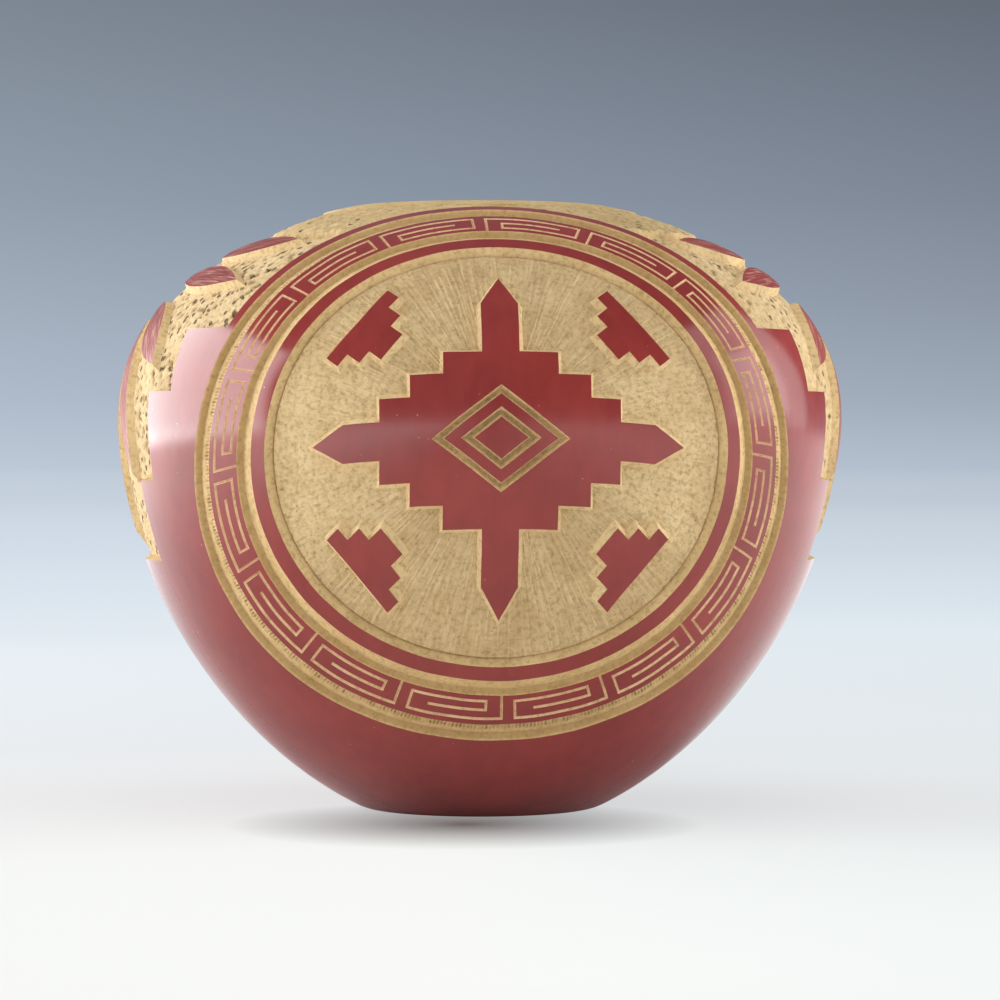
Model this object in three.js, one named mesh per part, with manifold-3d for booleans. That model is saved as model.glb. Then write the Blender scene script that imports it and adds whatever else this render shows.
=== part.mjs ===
// A coil-built clay bowl with a carved and slip-painted outside, in millimetres, +Z up.
// The origin is the middle of the flat underside. The front medallion faces -Y, the back one +Y.
import * as THREE from "three";
import { mergeVertices } from "three/addons/utils/BufferGeometryUtils.js";
import Module from "manifold-3d";

const wasm = await Module();
wasm.setup();

// Bowl outline: two quarters of a superellipse that meet at the belly. The lower one would
// dip below the flat foot.
const bellyRadius = 60;
const bellyHeight = 64.3;
const shoulderRise = 37.2;
const shoulderPower = 2.17;
const footDip = 4.9;
const bowlPower = 1.83;
const mouthRadius = 19.5;
const lipCrownWidth = 2.5;
const lipDrop = 3;
const lipBandWidth = 6.5;
const wallThickness = 6;
const floorThickness = 6;

// Carving: its depth, the sheet of bare clay under it, and the seam left between pieces
const carveDepth = 1.2;
const groundThickness = 0.6;
const seam = 0.3;

// Clay members
const skinFootHeight = 4;
const coilCount = 7;
const rimCoilHeight = 9.6;

// Medallions: ring edges are half heights of ellipses that are wider than high. The border
// strip of each one ends a small gap below the lip band.
const medallionDrop = 3.05;
const medallionTilt = 12.2;
const medallionAspect = 1.118;
const borderLipGap = 1.59;
const innerRingWidth = 1.87;
const innerChannelWidth = 1.94;
const fretBandWidth = 3.85;
const outerChannelWidth = 2;
const borderStripWidth = 1.27;

// Stepped star of a medallion, round nested diamonds. Its arms end short of the field's edge,
// and its steps are corners as distances across and up.
const starSideMargin = 7.23;
const starTopMargin = 6.16;
const starTipLength = 4.7;
const starArmHalfWidth = 2.9;
const starSteps = [
  [18.4, 6.3],
  [13.8, 9.7],
  [8.8, 13.1],
];
const diamondSlope = 0.75;
const diamondGrooveHalfWidth = 10.4;
const diamondFrameHalfWidth = 8.8;
const centreGrooveHalfWidth = 6;
const centreDiamondHalfWidth = 4.2;

// Stepped clouds between the arms of the star
const cloudMargin = 5.35;
const cloudAngle = 41;
const cloudStepHeight = 2.3;
const cloudHalfWidths = [7.2, 4.9, 2.6];

// Flank fields: treads that step down past the belly, as heights above it. The first one runs
// all round the shoulder, and each later one stops at a strip of polish beside the medallions.
const treadRises = [14.2, 4.4, -9.8, -22.8];
const stripWidths = [4.76, 12.09, 17.96];

// Collars: bare bands left standing between the top of each medallion and the lip
const collarDrop = 3.65;
const collarHalfAngle = 66;

// Feather fan of a flank, from its middle feather outwards: the angle of each feather from
// straight down, its root and tip from the middle of the fan, and how wide it swells
const fanRise = 22.2;
const fanTilt = 38;
const featherRootHalfWidth = 1;
const featherAngles = [0, 29, 62, 101, 122];
const featherRoots = [9, 9, 9, 10, 16];
const featherTips = [36.5, 33, 27.5, 31, 32.5];
const featherSwells = [4.2, 4.2, 4.2, 3.4, 3.2];

// Fineness of the faceted solids
const turnSegments = 40;
const skinSteps = 16;
const rimSteps = 2;
const lipSteps = 3;
const ringSegments = 48;
const featherSteps = 4;
const bisections = 40;

// A drawing's prism starts in front of its panel and reaches back to near the bowl's axis
const prismFront = 12;
const prismReach = 60;

const sheetDepth = carveDepth + groundThickness;
const coreDepth = sheetDepth + seam;
const landThickness = carveDepth - seam;
const bowlTop = bellyHeight + shoulderRise;
const bowlDrop = bellyHeight + footDip;
const medallionHeight = bellyHeight - medallionDrop;
const fanHeight = bellyHeight + fanRise;
const lipBandRadius = mouthRadius + lipBandWidth;
const lipCrownRadius = mouthRadius + lipCrownWidth;

const materials = {
  clay: new THREE.MeshStandardMaterial({ color: 0xb08a63, roughness: 0.95, metalness: 0 }),
  redSlip: new THREE.MeshStandardMaterial({ color: 0x8a3a35, roughness: 0.3, metalness: 0 }),
  goldSlip: new THREE.MeshStandardMaterial({ color: 0xc7a467, roughness: 0.9, metalness: 0 }),
};

// Bowl outline as an angle from the belly: up to a quarter turn above it, down to one below it

function reachAndPower(upper, depth) {
  return upper
    ? [shoulderRise - depth, shoulderPower]
    : [bowlDrop - depth, bowlPower];
}

function angleAtHeight(z, depth) {
  const upper = z > bellyHeight;
  const [reach, power] = reachAndPower(upper, depth);
  const angle = Math.asin((Math.abs(z - bellyHeight) / reach) ** (power / 2));
  return upper ? angle : -angle;
}

function angleAtRadius(r, depth) {
  return Math.acos((r / (bellyRadius - depth)) ** (shoulderPower / 2));
}

function outlinePoint(angle, depth) {
  const upper = angle > 0;
  const [reach, power] = reachAndPower(upper, depth);
  const rise = reach * Math.abs(Math.sin(angle)) ** (2 / power);
  const r = (bellyRadius - depth) * Math.cos(angle) ** (2 / power);
  return new THREE.Vector2(r, bellyHeight + (upper ? rise : -rise));
}

function outline(depth, from, to, steps) {
  return Array.from({ length: steps + 1 }, (_, i) =>
    outlinePoint(THREE.MathUtils.lerp(from, to, i / steps), depth),
  );
}

function isInside(point, depth) {
  const [reach, power] = reachAndPower(point.z > bellyHeight, depth);
  const across = Math.hypot(point.x, point.y) / (bellyRadius - depth);
  const along = Math.abs(point.z - bellyHeight) / reach;
  return across ** power + along ** power < 1;
}

// Medallion rings, from the top of the border strip inwards
const borderTop = outlinePoint(angleAtRadius(lipBandRadius + borderLipGap, 0), 0);
const collarFoot = borderTop.y - collarDrop;
const medallionMiddle = outlinePoint(angleAtHeight(medallionHeight, 0), 0);
const borderEdge = borderTop
  .sub(medallionMiddle)
  .rotateAround(new THREE.Vector2(), THREE.MathUtils.degToRad(-medallionTilt)).y;
const outerChannelEdge = borderEdge - borderStripWidth;
const fretBandEdge = outerChannelEdge - outerChannelWidth;
const innerChannelEdge = fretBandEdge - fretBandWidth;
const innerRingEdge = innerChannelEdge - innerChannelWidth;
const fieldHalfHeight = innerRingEdge - innerRingWidth;
const fieldHalfWidth = medallionAspect * fieldHalfHeight;

// Solids

function asSolid(geometry) {
  const bare = geometry.clone();
  bare.deleteAttribute("normal");
  bare.deleteAttribute("uv");
  const merged = mergeVertices(bare);
  return new wasm.Manifold(
    new wasm.Mesh({
      numProp: 3,
      vertProperties: merged.attributes.position.array,
      triVerts: new Uint32Array(merged.index.array),
    }),
  );
}

function asGeometry(solid) {
  const { vertProperties, triVerts } = solid.getMesh();
  const geometry = new THREE.BufferGeometry();
  geometry.setAttribute("position", new THREE.BufferAttribute(vertProperties, 3));
  geometry.setIndex(new THREE.BufferAttribute(triVerts, 1));
  return geometry;
}

// Turns a closed profile of radius and height round the Z axis.
function turned(profile) {
  const geometry = new THREE.LatheGeometry([...profile, profile[0]], turnSegments);
  return asSolid(geometry.rotateX(Math.PI / 2));
}

// A shell between two depths, from the foot of the skin to the edge of the lip band.
function shell(outerDepth, innerDepth) {
  const endRadius = lipBandRadius + seam;
  const outer = outline(
    outerDepth,
    angleAtHeight(skinFootHeight, outerDepth),
    angleAtRadius(endRadius, outerDepth),
    skinSteps,
  );
  const inner = outline(
    innerDepth,
    angleAtRadius(endRadius, innerDepth),
    angleAtHeight(skinFootHeight, innerDepth),
    skinSteps,
  );
  return turned([...outer, ...inner]);
}

// A panel is a plane that touches the bowl near its middle. Drawings made on it are carved
// straight into the bowl along its normal.
function panel(azimuth, height, tilt) {
  const turn = THREE.MathUtils.degToRad(azimuth);
  const radius = outlinePoint(angleAtHeight(height, 0), 0).x;
  const lean = new THREE.Matrix4().makeRotationX(THREE.MathUtils.degToRad(90 - tilt));
  const middle = new THREE.Matrix4().makeTranslation(0, -radius, height);
  return new THREE.Matrix4().makeRotationZ(turn).multiply(middle).multiply(lean);
}

function prism(corners, where) {
  const geometry = new THREE.ExtrudeGeometry(new THREE.Shape(corners), {
    depth: prismReach,
    bevelEnabled: false,
  });
  geometry.translate(0, 0, prismFront - prismReach);
  return asSolid(geometry.applyMatrix4(where));
}

// The point of the bowl at a depth, straight behind a point of a panel.
function behind(across, up, depth, where) {
  let inner = -bellyRadius;
  let outer = prismFront;
  const point = new THREE.Vector3();
  for (let i = 0; i < bisections; i++) {
    const middle = (inner + outer) / 2;
    point.set(across, up, middle).applyMatrix4(where);
    if (isInside(point, depth)) inner = middle;
    else outer = middle;
  }
  return point;
}

// An elliptical band between two edges, laid on the bowl behind a panel.
function laidBand(from, to, where) {
  const section = [
    [from, landThickness],
    [to, landThickness],
    [to, 0],
    [from, 0],
    [from, landThickness],
  ];
  const geometry = new THREE.LatheGeometry(
    section.map(([edge, depth]) => new THREE.Vector2(edge, -depth)),
    ringSegments,
  );
  const positions = geometry.attributes.position;
  for (let i = 0; i < positions.count; i++) {
    const across = medallionAspect * positions.getX(i);
    const point = behind(across, -positions.getZ(i), -positions.getY(i), where);
    positions.setXYZ(i, point.x, point.y, point.z);
  }
  return asSolid(geometry);
}

// Drawings, as counter-clockwise corners

function ellipse(halfHeight) {
  return new THREE.EllipseCurve(0, 0, medallionAspect * halfHeight, halfHeight)
    .getPoints(ringSegments)
    .slice(1);
}

function points(pairs) {
  return pairs.map(([x, y]) => new THREE.Vector2(x, y));
}

function diamond(halfWidth) {
  const halfHeight = halfWidth * diamondSlope;
  return points([
    [halfWidth, 0],
    [0, halfHeight],
    [-halfWidth, 0],
    [0, -halfHeight],
  ]);
}

function star() {
  const starArmReach = fieldHalfWidth - starSideMargin;
  const starArmRise = fieldHalfHeight - starTopMargin;
  const right = [
    [starArmReach, 0],
    [starArmReach - starTipLength, starArmHalfWidth],
    [starSteps[0][0], starArmHalfWidth],
  ];
  starSteps.forEach(([x, y], i) => {
    const next = starSteps[i + 1] ?? [starArmHalfWidth];
    right.push([x, y], [next[0], y]);
  });
  right.push([starArmHalfWidth, starArmRise - starTipLength]);
  const left = right.map(([x, y]) => [-x, y]).reverse();
  const upper = [...right, [0, starArmRise], ...left.slice(0, -1)];
  return points([...upper, ...upper.map(([x, y]) => [-x, -y])]);
}

// A stepped pyramid with its base outwards, turned to face one quarter of the field.
function cloud(angle) {
  const facing = THREE.MathUtils.degToRad(angle);
  const reach = Math.hypot(Math.cos(facing) / fieldHalfWidth, Math.sin(facing) / fieldHalfHeight);
  const base = 1 / reach - cloudMargin;
  const half = cloudHalfWidths.flatMap((x, i) => [
    [x, base - i * cloudStepHeight],
    [x, base - (i + 1) * cloudStepHeight],
  ]);
  const whole = [...half.map(([x, y]) => [-x, y]), ...half.reverse()];
  const turn = facing - Math.PI / 2;
  return points(whole).map((point) => point.rotateAround(new THREE.Vector2(), turn));
}

// A leaf shape with a narrow root and a pointed tip, counted out from the middle of the fan.
function feather(place) {
  const rank = Math.abs(place);
  const [root, tip, swell] = [featherRoots, featherTips, featherSwells].map((list) => list[rank]);
  const third = (tip - root) / 3;
  const side = new THREE.CubicBezierCurve(
    new THREE.Vector2(featherRootHalfWidth, -root),
    new THREE.Vector2(swell, -root - third),
    new THREE.Vector2(swell, -root - 2 * third),
    new THREE.Vector2(0, -tip),
  ).getPoints(featherSteps);
  const otherSide = side.slice(0, -1).map(({ x, y }) => new THREE.Vector2(-x, y));
  const turn = THREE.MathUtils.degToRad(Math.sign(place) * featherAngles[rank]);
  return [...otherSide, ...side.reverse()].map((point) =>
    point.rotateAround(new THREE.Vector2(), turn),
  );
}

// A wedge of the bowl round one azimuth, between two heights.
function wedge(azimuth, halfAngle, from, to) {
  const corners = [-halfAngle, 0, halfAngle].map((angle) => {
    const turn = THREE.MathUtils.degToRad(azimuth + angle);
    return new THREE.Vector2(Math.sin(turn), -Math.cos(turn)).multiplyScalar(2 * bellyRadius);
  });
  const geometry = new THREE.ExtrudeGeometry(
    new THREE.Shape([new THREE.Vector2(), ...corners]),
    { depth: to - from, bevelEnabled: false },
  );
  return asSolid(geometry.translate(0, 0, from));
}

// The stepped field of a flank, drawn in from its edges by a seam.
function flankField(azimuth, inset) {
  const borderSide = Math.asin((medallionAspect * borderEdge) / bellyRadius);
  const treads = treadRises.map((rise) => bellyHeight + rise + inset);
  const wedges = treads.map((tread, i) => {
    const kept = i ? borderSide + stripWidths[i - 1] / bellyRadius : 0;
    const halfTurn = Math.PI / 2 - kept - inset / bellyRadius;
    const ceiling = i ? treads[i - 1] + inset : bowlTop;
    return wedge(azimuth, THREE.MathUtils.radToDeg(halfTurn), tread, ceiling);
  });
  return wasm.Manifold.union(wedges);
}

function collarZone(azimuth, outset) {
  const outsetAngle = THREE.MathUtils.radToDeg(outset / lipBandRadius);
  return wedge(azimuth, collarHalfAngle + outsetAngle, collarFoot - outset, bowlTop);
}

// Assembly

const bowl = new THREE.Group();

function addPiece(name, solid, material) {
  const mesh = new THREE.Mesh(asGeometry(solid), materials[material]);
  mesh.name = name;
  bowl.add(mesh);
}

function addBaseSlab() {
  const foot = outline(0, angleAtHeight(0, 0), angleAtHeight(skinFootHeight, 0), 1);
  const root = outline(
    coreDepth,
    angleAtHeight(skinFootHeight, coreDepth),
    angleAtHeight(floorThickness, coreDepth),
    1,
  );
  const underside = new THREE.Vector2(0, 0);
  const floor = new THREE.Vector2(0, floorThickness);
  const geometry = new THREE.LatheGeometry([underside, ...foot, ...root, floor], turnSegments);
  addPiece("base_slab", asSolid(geometry.rotateX(Math.PI / 2)), "redSlip");
}

const shoulderTop = outlinePoint(angleAtRadius(lipBandRadius, 0), 0).y;
const lastCoilTop = shoulderTop - rimCoilHeight;

function addCoils() {
  for (let i = 0; i < coilCount; i++) {
    const from = THREE.MathUtils.lerp(floorThickness, lastCoilTop, i / coilCount);
    const to = THREE.MathUtils.lerp(floorThickness, lastCoilTop, (i + 1) / coilCount);
    const [outer, inner] = [coreDepth, wallThickness].map((depth) =>
      outline(depth, angleAtHeight(from, depth), angleAtHeight(to, depth), 1),
    );
    addPiece(`wall_coil_${i + 1}`, turned([...outer, ...inner.reverse()]), "clay");
  }
}

function addRimCoil() {
  const shelf = outline(
    coreDepth,
    angleAtHeight(lastCoilTop, coreDepth),
    angleAtRadius(lipBandRadius, coreDepth),
    rimSteps,
  );
  const band = outline(
    0,
    angleAtRadius(lipBandRadius, 0),
    angleAtRadius(lipCrownRadius, 0),
    rimSteps,
  );
  const crown = band[rimSteps];
  const lip = Array.from({ length: lipSteps }, (_, i) => {
    const turn = ((i + 1) / lipSteps) * (Math.PI / 2);
    return new THREE.Vector2(
      crown.x - lipCrownWidth * Math.sin(turn),
      crown.y - lipDrop * (1 - Math.cos(turn)),
    );
  });
  const inside = outline(
    wallThickness,
    angleAtRadius(mouthRadius, wallThickness),
    angleAtHeight(lastCoilTop, wallThickness),
    rimSteps,
  );
  addPiece("rim_coil", turned([...shelf, ...band, ...lip, ...inside]), "goldSlip");
}

const skin = shell(0, sheetDepth);
const sheet = shell(carveDepth, sheetDepth);
const land = shell(0, landThickness);
const sides = { front: 0, back: 180 };
const flanks = { left: -90, right: 90 };
const medallionPanels = Object.fromEntries(
  Object.entries(sides).map(([side, azimuth]) => [
    side,
    panel(azimuth, medallionHeight, medallionTilt),
  ]),
);

function medallions(edge) {
  const whole = Object.values(medallionPanels).map((where) => prism(ellipse(edge), where));
  return wasm.Manifold.union(whole);
}

function addPolishedBody() {
  const fields = Object.values(flanks).map((azimuth) => flankField(azimuth, 0));
  const carved = wasm.Manifold.union(fields).subtract(medallions(borderEdge));
  const cut = carved.add(medallions(outerChannelEdge));
  addPiece("polished_body", skin.subtract(cut), "redSlip");
}

function addMedallion(side) {
  const where = medallionPanels[side];
  const raise = (corners) => land.intersect(prism(corners, where));
  const add = (name, solid, material) => addPiece(`${side}_${name}`, solid, material);
  const collar = skin.intersect(collarZone(sides[side], 0));
  add("collar", collar.subtract(medallions(borderEdge + seam)), "goldSlip");
  add("ground", sheet.intersect(prism(ellipse(outerChannelEdge - seam), where)), "goldSlip");
  add("fret_band", laidBand(innerChannelEdge, fretBandEdge, where), "redSlip");
  add("inner_ring", laidBand(fieldHalfHeight, innerRingEdge, where), "redSlip");
  const grooved = prism(diamond(diamondGrooveHalfWidth), where);
  const centreGrooved = prism(diamond(centreGrooveHalfWidth), where);
  add("star", raise(star()).subtract(grooved), "redSlip");
  add("diamond_frame", raise(diamond(diamondFrameHalfWidth)).subtract(centreGrooved), "redSlip");
  add("centre_diamond", raise(diamond(centreDiamondHalfWidth)), "redSlip");
  const quarters = [cloudAngle, 180 - cloudAngle, 180 + cloudAngle, 360 - cloudAngle];
  quarters.forEach((angle, i) => add(`cloud_${i + 1}`, raise(cloud(angle)), "redSlip"));
}

function addFlank(flank) {
  const azimuth = flanks[flank];
  const where = panel(azimuth, fanHeight, fanTilt);
  const collars = Object.values(sides).map((side) => collarZone(side, seam));
  const kept = medallions(borderEdge + seam).add(wasm.Manifold.union(collars));
  const field = flankField(azimuth, seam).subtract(kept);
  addPiece(`${flank}_ground`, sheet.intersect(field), "goldSlip");
  const outermost = featherAngles.length - 1;
  for (let place = -outermost; place <= outermost; place++) {
    const raised = land.intersect(prism(feather(place), where));
    addPiece(`${flank}_feather_${place + outermost + 1}`, raised, "redSlip");
  }
}

addBaseSlab();
addCoils();
addRimCoil();
addPolishedBody();
Object.keys(sides).forEach(addMedallion);
Object.keys(flanks).forEach(addFlank);

export default bowl;
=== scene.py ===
import math

import bpy
import numpy as np
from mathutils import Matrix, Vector, kdtree, noise


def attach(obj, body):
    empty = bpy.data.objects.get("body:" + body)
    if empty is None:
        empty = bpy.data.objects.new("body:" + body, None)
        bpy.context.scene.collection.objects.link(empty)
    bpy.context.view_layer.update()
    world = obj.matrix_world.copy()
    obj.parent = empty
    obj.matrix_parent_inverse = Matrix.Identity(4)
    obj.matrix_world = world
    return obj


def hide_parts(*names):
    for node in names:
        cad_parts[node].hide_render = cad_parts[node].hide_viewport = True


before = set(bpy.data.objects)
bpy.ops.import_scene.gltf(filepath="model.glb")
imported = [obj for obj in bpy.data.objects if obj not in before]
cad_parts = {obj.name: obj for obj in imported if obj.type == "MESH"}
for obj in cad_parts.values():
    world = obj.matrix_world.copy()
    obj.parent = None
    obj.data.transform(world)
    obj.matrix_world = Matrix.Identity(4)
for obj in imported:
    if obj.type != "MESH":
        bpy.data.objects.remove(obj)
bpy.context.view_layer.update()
print("frame loaded")

mm = 0.001

# Outline of the bowl

bowl = {
    "bellyRadius": 60 * mm,
    "bellyHeight": 64.3 * mm,
    "shoulderRise": 37.2 * mm,
    "shoulderPower": 2.17,
    "bowlDrop": 69.2 * mm,
    "bowlPower": 1.83,
    "lipBandRadius": 26 * mm,
    "lipCrownRadius": 22 * mm,
    "mouthRadius": 19.5 * mm,
    "lipDrop": 3 * mm,
    "skinDepth": 2 * mm,  # inner side of the polished skin
    "coreDepth": 2.3 * mm,  # outer side of the clay wall behind the skin
    "wallDepth": 6 * mm,
    "turnSteps": 320,
}
sideTurns = {"front": 0, "back": 180}
flankTurns = {"left": -90, "right": 90}


def reachAndPower(upper, depth=0):
    reach = np.where(upper, bowl["shoulderRise"], bowl["bowlDrop"]) - depth
    return reach, np.where(upper, bowl["shoulderPower"], bowl["bowlPower"])


def angleAtHeight(z, depth=0):  # outline angle: 0 at the belly, up to a quarter turn at the top
    upper = z > bowl["bellyHeight"]
    reach, power = reachAndPower(upper, depth)
    angle = math.asin((abs(z - bowl["bellyHeight"]) / reach) ** (power / 2))
    return angle if upper else -angle


def angleAtRadius(r, depth=0):
    return math.acos((r / (bowl["bellyRadius"] - depth)) ** (bowl["shoulderPower"] / 2))


def outlineAt(angle, depth=0):
    angle = np.asarray(angle, dtype=float)
    reach, power = reachAndPower(angle > 0, depth)
    rise = reach * np.abs(np.sin(angle)) ** (2 / power)
    r = (bowl["bellyRadius"] - depth) * np.cos(angle) ** (2 / power)
    return r, bowl["bellyHeight"] + np.sign(angle) * rise


def outlineRun(fromAngle, toAngle, steps, depth=0):
    r, z = outlineAt(np.linspace(fromAngle, toAngle, steps + 1), depth)
    return list(zip(r.tolist(), z.tolist()))


def skinAt(flat):  # x is the azimuth from the front, y the outline angle
    r, z = outlineAt(flat[:, 1])
    return np.stack([r * np.sin(flat[:, 0]), -r * np.cos(flat[:, 0]), z], axis=1)


def fromAxis(spots):
    return np.hypot(spots[:, 0], spots[:, 1])


def bowlLevel(spots):  # below 1 inside the bowl, 1 on its skin
    reach, power = reachAndPower(spots[:, 2] > bowl["bellyHeight"])
    across = fromAxis(spots) / bowl["bellyRadius"]
    along = np.abs(spots[:, 2] - bowl["bellyHeight"]) / reach
    return across**power + along**power


def bowlNormal(spots):
    height = spots[:, 2] - bowl["bellyHeight"]
    reach, power = reachAndPower(height > 0)
    r = np.maximum(fromAxis(spots), 1e-9)
    outwards = (r / bowl["bellyRadius"]) ** (power - 1) / bowl["bellyRadius"]
    upwards = np.sign(height) * (np.abs(height) / reach) ** (power - 1) / reach
    normal = np.stack([spots[:, 0] / r * outwards, spots[:, 1] / r * outwards, upwards], axis=1)
    return normal / np.linalg.norm(normal, axis=1, keepdims=True)


# Small tools for every piece


def spaced(low, high, steps):
    return [low + (high - low) * i / steps for i in range(steps + 1)]


def clearSelection():
    if bpy.context.object and bpy.context.object.mode != "OBJECT":
        bpy.ops.object.mode_set(mode="OBJECT")
    bpy.ops.object.select_all(action="DESELECT")


def pickOnly(piece):
    clearSelection()
    piece.select_set(True)
    bpy.context.view_layer.objects.active = piece


def openEdit():
    bpy.ops.object.mode_set(mode="EDIT")
    bpy.ops.mesh.select_all(action="SELECT")


def closeEdit():
    bpy.ops.object.mode_set(mode="OBJECT")


def closeOutwards():  # leaves edit mode with every face turned outwards
    bpy.ops.mesh.select_all(action="SELECT")
    bpy.ops.mesh.normals_make_consistent(inside=False)
    closeEdit()


def extrude(height):
    bpy.ops.mesh.extrude_region_move(TRANSFORM_OT_translate={"value": (0, 0, height)})


def named(piece, name):
    piece.name = piece.data.name = name
    return piece


def setPlaces(piece, spots):
    piece.data.vertices.foreach_set("co", np.asarray(spots, dtype=np.float32).ravel())
    piece.data.update()


def loopPiece(name, spots, fill="NOTHING"):
    clearSelection()
    bpy.ops.mesh.primitive_circle_add(vertices=len(spots), radius=mm, fill_type=fill)
    piece = named(bpy.context.object, name)
    setPlaces(piece, spots)
    return piece


def vectorsOf(items, key):
    values = np.empty(len(items) * 3, dtype=np.float32)
    items.foreach_get(key, values)
    return values.reshape(-1, 3).astype(float)


def numbersOf(items, key):
    values = np.empty(len(items), dtype=np.int32)
    items.foreach_get(key, values)
    return values


def places(piece):
    return vectorsOf(piece.data.vertices, "co")


def copyOf(piece, name):
    twin = piece.copy()
    twin.data = piece.data.copy()
    bpy.context.collection.objects.link(twin)
    return named(twin, name)


def paintFaces(piece, finishes, choose=None):  # choose gives the number of a finish for each face
    mesh = piece.data
    mesh.materials.clear()
    for finish in finishes:
        mesh.materials.append(finish)
    chosen = np.zeros(len(mesh.polygons))
    if choose:
        chosen = choose(vectorsOf(mesh.polygons, "center"), vectorsOf(mesh.polygons, "normal"))
    mesh.polygons.foreach_set("material_index", np.asarray(chosen, dtype=np.int32))
    mesh.update()


def smoothBy(piece, degrees):
    pickOnly(piece)
    bpy.ops.object.shade_smooth_by_angle(angle=math.radians(degrees))


def polishSkin(piece):  # the faces in the first finish take the true slope of the bowl
    mesh = piece.data
    finish = numbersOf(mesh.polygons, "material_index")
    sides = numbersOf(mesh.polygons, "loop_total")
    normals = bowlNormal(places(piece))[numbersOf(mesh.loops, "vertex_index")]
    normals[np.repeat(finish, sides) != 0] = 0
    mesh.normals_split_custom_set(normals.tolist())


def addReading(piece, name, values):  # a number or a vector for each vertex, read by the finishes
    kind, key = ("FLOAT", "value") if values.ndim == 1 else ("FLOAT_VECTOR", "vector")
    reading = piece.data.attributes.new(name, kind, "POINT")
    reading.data.foreach_set(key, np.asarray(values, dtype=np.float32).ravel())


def grain(spots, pitch, octaves=1):  # smooth noise with features about one pitch wide
    total = np.zeros(len(spots))
    for octave in range(octaves):
        scaled = (spots * (2**octave / pitch)).tolist()
        total += np.array([noise.noise(spot) for spot in scaled]) / 2**octave
    return total


def carvedSide(flat):  # true for the vertices that show, false for those of the hidden side
    return flat[:, 2] > -1.5 * mm


def topFaces(steepest, lowest):  # the first finish for level faces above a height, else the second
    def choose(centres, normals):
        return np.where((normals[:, 2] > steepest) & (centres[:, 2] > lowest), 0, 1)

    return choose


def seat(piece, slot, *nodes):
    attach(piece, "root")
    if nodes:
        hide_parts(*nodes)


def spunPiece(name, profile, steps):  # turns a closed profile of (radius, height) into a closed body
    piece = loopPiece(name, [(r, 0, z) for r, z in profile])
    wheel = piece.modifiers.new("wheel", "SCREW")
    wheel.angle = 2 * math.pi
    wheel.steps = wheel.render_steps = steps
    wheel.use_merge_vertices = True
    wheel.merge_threshold = 0.001 * mm
    bpy.ops.object.modifier_apply(modifier=wheel.name)
    openEdit()
    bpy.ops.mesh.remove_doubles(threshold=0.001 * mm)
    bpy.ops.mesh.delete_loose()
    closeOutwards()
    return piece


def gridCut(piece, pitch):  # bisects a flat piece on a grid, so that it can follow the bowl
    flat = places(piece)
    pickOnly(piece)
    openEdit()
    for axis in (0, 1):
        low, high = flat[:, axis].min(), flat[:, axis].max()
        count = max(1, math.ceil((high - low) / pitch))
        for i in range(1, count):
            spot, direction = [0, 0, 0], [0, 0, 0]
            spot[axis] = low + (high - low) * (i + 0.37) / (count + 0.37)
            direction[axis] = 1
            bpy.ops.mesh.select_all(action="SELECT")
            bpy.ops.mesh.bisect(plane_co=spot, plane_no=direction)
    closeEdit()


def joinByBoolean(piece, tool, operation):
    pickOnly(piece)
    change = piece.modifiers.new(operation.lower(), "BOOLEAN")
    change.operation = operation
    change.solver = "EXACT"
    change.object = tool
    bpy.ops.object.modifier_apply(modifier=change.name)
    bpy.data.objects.remove(tool, do_unlink=True)


# Plates: flat drawings that are laid on the bowl

medallion = {
    "height": 61.25 * mm,
    "tilt": 12.2,
    "aspect": 1.118,  # how much wider than high each ring is
    "groundEdge": 31.45 * mm,
    "field": 31.96 * mm,
    "innerRing": 33.83 * mm,
    "innerChannel": 35.77 * mm,
    "fretBand": 39.62 * mm,
    "outerChannel": 41.62 * mm,
    "border": 42.89 * mm,
    "ringSteps": 960,
}
fan = {"height": 86.5 * mm, "tilt": 38}
handWobble = {"size": 0.07 * mm, "pitch": 5 * mm}
laying = {"highest": 12 * mm, "halvings": 40}


def plateOn(azimuth, height, tilt):
    turn, lean = math.radians(azimuth), math.radians(tilt)
    radius = float(outlineAt(angleAtHeight(height))[0])
    facing = np.array([math.sin(turn), -math.cos(turn), 0])
    out = facing * math.cos(lean) + np.array([0, 0, math.sin(lean)])
    across = np.array([math.cos(turn), math.sin(turn), 0])
    origin = facing * radius + np.array([0, 0, height])
    return {"origin": origin, "across": across, "up": np.cross(out, across), "out": out}


medallionPlates = {
    side: plateOn(turn, medallion["height"], medallion["tilt"]) for side, turn in sideTurns.items()
}
fanPlates = {flank: plateOn(turn, fan["height"], fan["tilt"]) for flank, turn in flankTurns.items()}


def layOnBowl(piece, plate, aspect=1.0):  # x across, y up and z out from the skin, from the plate
    flat = places(piece)
    flat[:, 0] *= aspect
    drawn = flat * [1, 1, 0] + plate["origin"]
    flat[:, 0] += handWobble["size"] * grain(drawn, handWobble["pitch"])
    flat[:, 1] += handWobble["size"] * grain(drawn[:, [1, 2, 0]], handWobble["pitch"])
    base = plate["origin"] + flat[:, :1] * plate["across"] + flat[:, 1:2] * plate["up"]
    inner = np.full(len(flat), -bowl["bellyRadius"])
    outer = np.full(len(flat), laying["highest"])
    for _ in range(laying["halvings"]):
        middle = (inner + outer) / 2
        inside = bowlLevel(base + middle[:, None] * plate["out"]) < 1
        inner = np.where(inside, middle, inner)
        outer = np.where(inside, outer, middle)
    skin = base + inner[:, None] * plate["out"]
    setPlaces(piece, skin + flat[:, 2:] * bowlNormal(skin))


def wrapOnBowl(piece):  # x is the azimuth from the front, y the outline angle, z out from the skin
    flat = places(piece)
    skin = skinAt(flat)
    setPlaces(piece, skin + flat[:, 2:] * bowlNormal(skin))


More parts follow.
